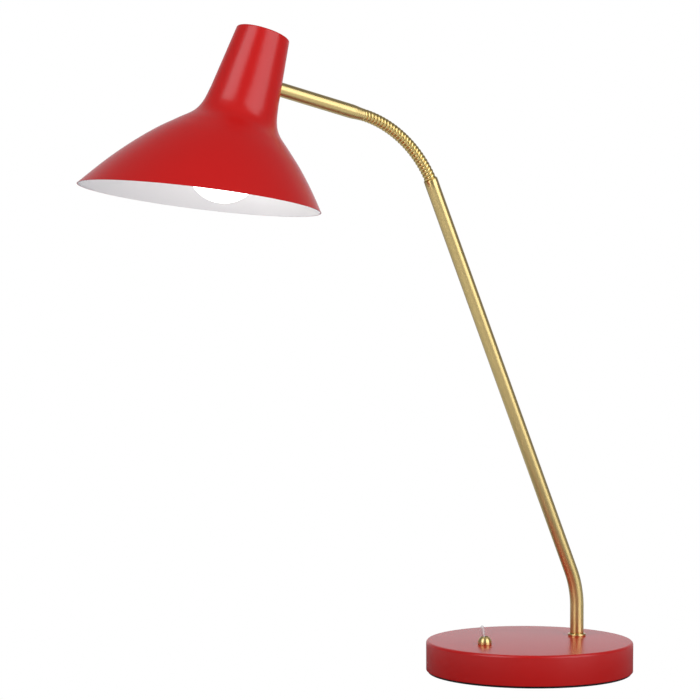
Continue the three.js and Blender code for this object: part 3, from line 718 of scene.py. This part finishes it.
# The share of the outline, from its top, whose points are the same all the way round.
EVEN_SHARE = 0.45


def flare_curve(knots, share):
    """The point at a share of a uniform spline through the knots, as in the CAD outline."""
    position = (len(knots) - 1) * share
    first = min(int(position), len(knots) - 2)
    t = position - first
    before = knots[max(first - 1, 0)]
    after = knots[min(first + 2, len(knots) - 1)]
    numbers = []
    for p0, p1, p2, p3 in zip(before, knots[first], knots[first + 1], after):
        v0 = (p2 - p0) / 2
        v1 = (p3 - p1) / 2
        cubic = (2 * p1 - 2 * p2 + v0 + v1) * t ** 3
        square = (-3 * p1 + 3 * p2 - 2 * v0 - v1) * t ** 2
        numbers.append(cubic + square + v0 * t + p1)
    return tuple(numbers)


def shade_outline():
    """The shade's outer outline from its top edge down, as (depth, radius) points."""
    knots = [(CONE_DEPTH + depth * MM, CONE_RADIUS + growth * MM) for depth, growth in FLARE]
    points = []
    for k in range(TOP_EDGE_STEPS + 1):
        angle = math.pi / 2 * k / TOP_EDGE_STEPS
        depth = TOP_EDGE * (1 - math.cos(angle))
        radius = TOP_RADIUS + CONE_SLOPE * TOP_EDGE - TOP_EDGE * (1 - math.sin(angle))
        points.append((depth, radius))
    for k in range(1, CONE_STEPS):
        depth = TOP_EDGE + (CONE_DEPTH - TOP_EDGE) * k / CONE_STEPS
        points.append((depth, TOP_RADIUS + CONE_SLOPE * depth))
    for k in range(FLARE_STEPS + 1):
        points.append(flare_curve(knots, k / FLARE_STEPS))
    return points


def offset_outline(outline, distance):
    """The outline moved inwards at right angles to itself."""
    moved = []
    for i, (depth, radius) in enumerate(outline):
        d0, r0 = outline[max(i - 1, 0)]
        d1, r1 = outline[min(i + 1, len(outline) - 1)]
        length = math.hypot(d1 - d0, r1 - r0)
        moved.append((
            depth + (r1 - r0) / length * distance,
            radius - (d1 - d0) / length * distance,
        ))
    return moved


def cut_at_rim(outline, angle):
    """The outline's points, moved so that the last one is on the rim's plane.

    Only the lower part moves, along the outline itself, so the surface stays the same.
    """
    slope = math.tan(RIM_TILT)
    cosine = math.cos(angle)

    def height_over_rim(point):
        depth, radius = point
        return RIM_DEPTH - radius * cosine * slope - depth

    last = len(outline) - 1
    low, high = 0, last
    while high - low > 1:
        middle = (low + high) // 2
        if height_over_rim(outline[middle]) > 0:
            low = middle
        else:
            high = middle
    above, below = height_over_rim(outline[low]), height_over_rim(outline[high])
    end = low + above / (above - below)
    fixed = int(EVEN_SHARE * last)
    points = outline[:fixed]
    for k in range(fixed, last + 1):
        position = fixed + (end - fixed) * (k - fixed) / (last - fixed)
        i = min(int(position), last - 1)
        t = position - i
        (d0, r0), (d1, r1) = outline[i], outline[i + 1]
        points.append((d0 + (d1 - d0) * t, r0 + (r1 - r0) * t))
    return points


def shade_skin(name, outer, inner, tops, material):
    """A spun skin between two outlines, cut off at the rim. Its two tops are depths."""
    columns = []
    for k in range(SHADE_SIDES):
        angle = TAU * k / SHADE_SIDES
        down = [(tops[0], 0.0)] + cut_at_rim(outer, angle)
        back_up = cut_at_rim(inner, angle)[::-1] + [(tops[1], 0.0)]
        columns.append([
            shade_frame @ Vector((radius * math.cos(angle), radius * math.sin(angle), -depth))
            for depth, radius in down + back_up
        ])
    rings = [list(ring) for ring in zip(*columns)]
    return loft(name, rings, material)


def build_shade():
    outline = shade_outline()
    seam_top = SHADE_WALL * PAINT_SHARE
    seam = offset_outline(outline, seam_top)
    inside = offset_outline(outline, SHADE_WALL)
    outer = shade_skin("shade_shell", outline, seam, (0.0, seam_top), red_paint)
    finished(outer, "head", ["shade"])
    lining = shade_skin("shade_lining", seam, inside, (seam_top, SHADE_WALL), white_paint)
    finished(lining, "head", ["shade"])


build_shade()


SWAGE_LENGTH = 12 * MM
ARM_IN_SHADE = 0.6 * MM
ARM_STEPS = 16


def arm_length():
    """From the neck's end to just inside the shade's slanting wall."""
    rise = arm_way.angle(shade_down) - math.pi / 2
    wall_radius = TOP_RADIUS + CONE_SLOPE * ARM_DEPTH
    across = wall_radius / (math.cos(rise) + CONE_SLOPE * math.sin(rise))
    axis_point = shade_top + shade_down * ARM_DEPTH
    return (axis_point - arm_start).length - across + ARM_IN_SHADE


def build_arm():
    """A tube that is swaged down to the neck's size at its start."""
    reach = arm_length()
    stations = [(arm_start, arm_way, NECK_RADIUS - SMALL_EDGE)]
    for k in range(ARM_STEPS + 1):
        share = k / ARM_STEPS
        eased = share * share * (3 - 2 * share)
        radius = NECK_RADIUS + (ARM_RADIUS - NECK_RADIUS) * eased
        along = SMALL_EDGE + (SWAGE_LENGTH - SMALL_EDGE) * share
        stations.append((arm_start + arm_way * along, arm_way, radius))
    for k in range(1, ARM_STEPS + 1):
        along = SWAGE_LENGTH + (reach - SWAGE_LENGTH) * k / ARM_STEPS
        stations.append((arm_start + arm_way * along, arm_way, ARM_RADIUS))
    tube = swept_tube("arm_tube_brass", stations, TUBE_WALL, brass)
    finished(tube, "head", ["arm_tube"])


build_arm()

# ----------------------------------------------------------------- lampholder and lamp


# Heights are in the shade's frame, below its top.
HOLDER_RADIUS = 18 * MM
HOLDER_BORE = 14.2 * MM
HOLDER_TOP = -26.1 * MM
HOLDER_MOUTH = -66.1 * MM
HOLDER_ROOF = 3 * MM
HOLDER_WIRE_HOLE = 3 * MM
HOLDER_LIP = 0.8 * MM
HOLDER_GRIP = (7 * MM, 30 * MM)
HOLDER_LEDGE = 1 * MM
HOLDER_LEDGE_EDGE = 0.4 * MM
HOLDER_TOP_EDGE = 0.5 * MM
HOLDER_ROOF_EDGE = 1 * MM


def build_lampholder():
    """The moulded body, with a grip that is cut a little into its side."""
    grip = HOLDER_RADIUS - HOLDER_LIP
    grip_low = HOLDER_MOUTH + HOLDER_GRIP[0]
    grip_high = HOLDER_MOUTH + HOLDER_GRIP[1]
    roof = HOLDER_TOP - HOLDER_ROOF
    body = spun("holder_body_moulding", [
        (HOLDER_BORE, HOLDER_MOUTH, HOLDER_LIP),
        (HOLDER_RADIUS, HOLDER_MOUTH, HOLDER_LIP),
        (HOLDER_RADIUS, grip_low - HOLDER_LEDGE, HOLDER_LEDGE_EDGE),
        (grip, grip_low, HOLDER_LEDGE_EDGE),
        (grip, grip_high, HOLDER_LEDGE_EDGE),
        (HOLDER_RADIUS, grip_high + HOLDER_LEDGE, HOLDER_LEDGE_EDGE),
        (HOLDER_RADIUS, HOLDER_TOP, HOLDER_TOP_EDGE),
        (HOLDER_WIRE_HOLE, HOLDER_TOP, 0),
        (HOLDER_WIRE_HOLE, roof, 0),
        (HOLDER_BORE, roof, HOLDER_ROOF_EDGE),
    ], white_plastic, shade_frame, sides=128)
    finished(body, "head", ["holder_body"])


GLOBE_GLASS = 1 * MM
GLOBE_MOUTH_RADIUS = 13.1 * MM
GLOBE_MOUTH = -62.4 * MM
GLOBE_SHOULDER = 12 * MM
# Where the round of the globe passes into its straight slope, above its widest.
GLOBE_TANGENT = math.radians(40)
GLOBE_STEPS = 48


def globe_outline(radius, mouth_radius):
    """The round bottom, the slope, the shoulder and the mouth of the globe."""
    slope = (radius * math.cos(GLOBE_TANGENT) - mouth_radius) / math.sin(GLOBE_TANGENT)
    rise = radius * math.sin(GLOBE_TANGENT) + slope * math.cos(GLOBE_TANGENT)
    points = [(0, -GLOBE_DEPTH - radius, 0)]
    for k in range(1, GLOBE_STEPS + 1):
        angle = -math.pi / 2 + (GLOBE_TANGENT + math.pi / 2) * k / GLOBE_STEPS
        points.append((radius * math.cos(angle), -GLOBE_DEPTH + radius * math.sin(angle), 0))
    points.append((mouth_radius, -GLOBE_DEPTH + rise, GLOBE_SHOULDER))
    points.append((mouth_radius, GLOBE_MOUTH, 0))
    return points


def build_globe():
    outside = globe_outline(GLOBE_RADIUS, GLOBE_MOUTH_RADIUS)
    inside = globe_outline(GLOBE_RADIUS - GLOBE_GLASS, GLOBE_MOUTH_RADIUS - GLOBE_GLASS)
    globe = spun("lamp_globe", outside + inside[::-1], opal, shade_frame, sides=128, steps=8)
    finished(globe, "bulb", ["bulb_globe"])


build_lampholder()
build_globe()

# ---------------------------------------------------------------------- toggle switch


DOME_SKIRT = 1.6 * MM
DOME_WALL = 1.5 * MM
DOME_HOLE = 3 * MM
DOME_BORE = 3.3 * MM
DOME_STEPS = 24


def arc_corners(radius, height, first, last, steps):
    """Points of a round outline about the axis, at this height, with no fillets."""
    points = []
    for k in range(steps + 1):
        angle = first + (last - first) * k / steps
        points.append((radius * math.cos(angle), height + radius * math.sin(angle), 0))
    return points


def build_dome_nut():
    low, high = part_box("switch_dome_nut")
    radius = (high.x - low.x) / 2
    inside = radius - DOME_WALL
    centre = low.z + DOME_SKIRT
    hole_outside = math.acos(DOME_HOLE / radius)
    hole_inside = math.acos(DOME_HOLE / inside)
    corners = [(DOME_BORE, BASE_TOP, 0), (radius, BASE_TOP, SMALL_EDGE)]
    corners += arc_corners(radius, centre, 0, hole_outside, DOME_STEPS)
    corners += arc_corners(inside, centre, hole_inside, 0, DOME_STEPS // 2)
    corners.append((DOME_BORE, centre, 0))
    dome = spun("switch_dome_cap", corners, brass, Matrix.Translation((SWITCH_X, 0, 0)))
    finished(dome, "base", ["switch_dome_nut"])


LEVER_LEAN = math.radians(12)
LEVER_LENGTH = 15 * MM
LEVER_BALL = 2 * MM
LEVER_TIP = 1.4 * MM
LEVER_STEM = 1.1 * MM
LEVER_TAIL = 0.8 * MM
LEVER_TAIL_END = -3.4 * MM
BALL_STEPS = 16
TIP_STEPS = 12


def build_lever():
    """A bat lever: a tail, the ball it tips on, and a stem that widens to a round tip."""
    ball_low = math.asin(LEVER_TAIL / LEVER_BALL) - math.pi / 2
    ball_high = math.pi / 2 - math.asin(LEVER_STEM / LEVER_BALL)
    tip_centre = LEVER_LENGTH - LEVER_TIP
    corners = [(0, LEVER_TAIL_END, 0), (LEVER_TAIL, LEVER_TAIL_END, SMALL_EDGE)]
    corners += arc_corners(LEVER_BALL, 0, ball_low, ball_high, BALL_STEPS)
    corners += arc_corners(LEVER_TIP, tip_centre, 0, math.pi / 2, TIP_STEPS)
    corners[-1] = (0, LEVER_LENGTH, 0)
    pivot = Vector(joints["switch_flip"]["pos_m"])
    place = leaning_frame(pivot, lean_vector(LEVER_LEAN))
    lever = spun("switch_lever_bat", corners, nickel, place, sides=48)
    finished(lever, "lever", ["switch_lever"])


build_dome_nut()
build_lever()

# ------------------------------------------------------- CAD nodes that stay as they are


CAD_SHARP_TURN = math.radians(35)


def finish_cad_nodes():
    """Gives each CAD node that still shows its material, smooth where it is round."""
    slots = {entry["node"]: entry["material_slot"] for entry in frame["record"]["subparts"]}
    for node, piece in frame["nodes"].items():
        piece.data.materials.clear()
        piece.data.materials.append(SLOT_MATERIALS[slots[node]])
        piece.data.polygons.foreach_set("use_smooth", [True] * len(piece.data.polygons))
        piece.data.set_sharp_from_angle(angle=CAD_SHARP_TURN)


finish_cad_nodes()

# ---------------------------------------------------------------------- floor and light

# Level directions: from the lamp towards the camera's side, and to the camera's right.
FRONT = -direction(CAMERA_AZIMUTH, 0)
RIGHT = FRONT.cross(-UP)

FLOOR_SIZE = 40.0
FLOOR_GREY = 0.88
# The floor round the lamp is painted darker, as painted shade that the base's side reflects, which keeps that side
# a deep red.
PAINTED_SHADE_GREY = 0.3
PAINTED_SHADE_RADIUS = 0.18
PAINTED_SHADE_FADES_BY = 0.34


def make_floor():
    """A pale floor that the camera sees as pure white, so that no shadow or horizon shows. Round the lamp it
    carries painted shade, seen only in the lamp's reflections.
    """
    size = FLOOR_SIZE
    corners = [(-size, -size, 0), (size, -size, 0), (size, size, 0), (-size, size, 0)]
    made = Nodes("pale_floor")
    made.set(Roughness=0.9, Specular_IOR_Level=0.0)
    place = made.add("ShaderNodeTexCoord")
    distance = made.add("ShaderNodeVectorMath", operation="LENGTH")
    made.link(place.outputs["Object"], distance.inputs[0])
    share = made.add("ShaderNodeMapRange")
    share.inputs["From Min"].default_value = PAINTED_SHADE_RADIUS
    share.inputs["From Max"].default_value = PAINTED_SHADE_FADES_BY
    made.link(distance.outputs["Value"], share.inputs["Value"])
    # Painted shade: the floor's colour darkens towards the lamp, from its pale grey down to a dark grey.
    color = made.mix_colors(share.outputs["Result"], (PAINTED_SHADE_GREY,) * 3, (FLOOR_GREY,) * 3)
    made.link(color, made.shader.inputs["Base Color"])
    white = made.add("ShaderNodeEmission")
    seen = made.add("ShaderNodeLightPath")
    mix = made.add("ShaderNodeMixShader")
    output = made.tree.nodes["Material Output"]
    made.link(seen.outputs["Is Camera Ray"], mix.inputs["Fac"])
    made.link(made.shader.outputs["BSDF"], mix.inputs[1])
    made.link(white.outputs["Emission"], mix.inputs[2])
    made.link(mix.outputs["Shader"], output.inputs["Surface"])
    floor = make_piece("floor", corners, [(0, 1, 2, 3)], made.material)


LAMP_MIDDLE = Vector((-0.14, 0, 0.28))
SOFTBOX_COLOR = (0.94, 0.95, 1.0)
SOFTBOX_DISTANCE = 2.4


def make_light(name, bearing, height, width, tall, power):
    """A softbox at a bearing from the camera's side of the lamp, positive to the right."""
    data = bpy.data.lights.new(name, "AREA")
    data.shape = "RECTANGLE"
    data.size = width
    data.size_y = tall
    data.energy = power
    data.color = SOFTBOX_COLOR
    light = bpy.data.objects.new(name, data)
    scene.collection.objects.link(light)
    angle = math.radians(bearing)
    place = LAMP_MIDDLE + (FRONT * math.cos(angle) + RIGHT * math.sin(angle)) * SOFTBOX_DISTANCE
    place.z = height
    light.location = place
    light.rotation_mode = "QUATERNION"
    light.rotation_quaternion = (LAMP_MIDDLE - place).to_track_quat("-Z", "Y")


# Brightness of the studio by the cosine of the angle from the camera's side.
WORLD_STOPS = [
    (-1.0, 0.85),
    (-0.9, 0.45),
    (-0.6, 0.22),
    (-0.2, 0.2),
    (0.3, 0.28),
    (0.9, 0.22),
    (1.0, 0.12),
]
WORLD_COOLNESS = 1.04


def make_world():
    """White where the camera sees it. As light, it is brightest behind the lamp."""
    world = bpy.data.worlds.new("studio")
    world.use_nodes = True
    tree = world.node_tree
    nodes = tree.nodes
    nodes.clear()
    place = nodes.new("ShaderNodeTexCoord")
    facing = nodes.new("ShaderNodeVectorMath")
    facing.operation = "DOT_PRODUCT"
    facing.inputs[1].default_value = FRONT
    tree.links.new(place.outputs["Generated"], facing.inputs[0])
    ramp = nodes.new("ShaderNodeValToRGB")
    ramp.color_ramp.interpolation = "EASE"
    elements = ramp.color_ramp.elements
    while len(elements) < len(WORLD_STOPS):
        elements.new(0.5)
    for element, (position, level) in zip(elements, WORLD_STOPS):
        element.position = (position + 1) / 2
        element.color = (level, level, level * WORLD_COOLNESS, 1)
    span = nodes.new("ShaderNodeMapRange")
    span.inputs["From Min"].default_value = -1
    span.inputs["From Max"].default_value = 1
    tree.links.new(facing.outputs["Value"], span.inputs["Value"])
    tree.links.new(span.outputs["Result"], ramp.inputs["Fac"])
    studio = nodes.new("ShaderNodeBackground")
    tree.links.new(ramp.outputs["Color"], studio.inputs["Color"])
    white = nodes.new("ShaderNodeBackground")
    white.inputs["Color"].default_value = (1, 1, 1, 1)
    seen = nodes.new("ShaderNodeLightPath")
    mix = nodes.new("ShaderNodeMixShader")
    tree.links.new(seen.outputs["Is Camera Ray"], mix.inputs["Fac"])
    tree.links.new(studio.outputs["Background"], mix.inputs[1])
    tree.links.new(white.outputs["Background"], mix.inputs[2])
    output = nodes.new("ShaderNodeOutputWorld")
    tree.links.new(mix.outputs["Shader"], output.inputs["Surface"])
    scene.world = world


make_floor()
make_world()
make_light("left_softbox", bearing=-46, height=1.8, width=1.8, tall=2.7, power=38)
make_light("right_softbox", bearing=52, height=1.3, width=2.3, tall=2.7, power=40)

scene.view_settings.view_transform = "Standard"
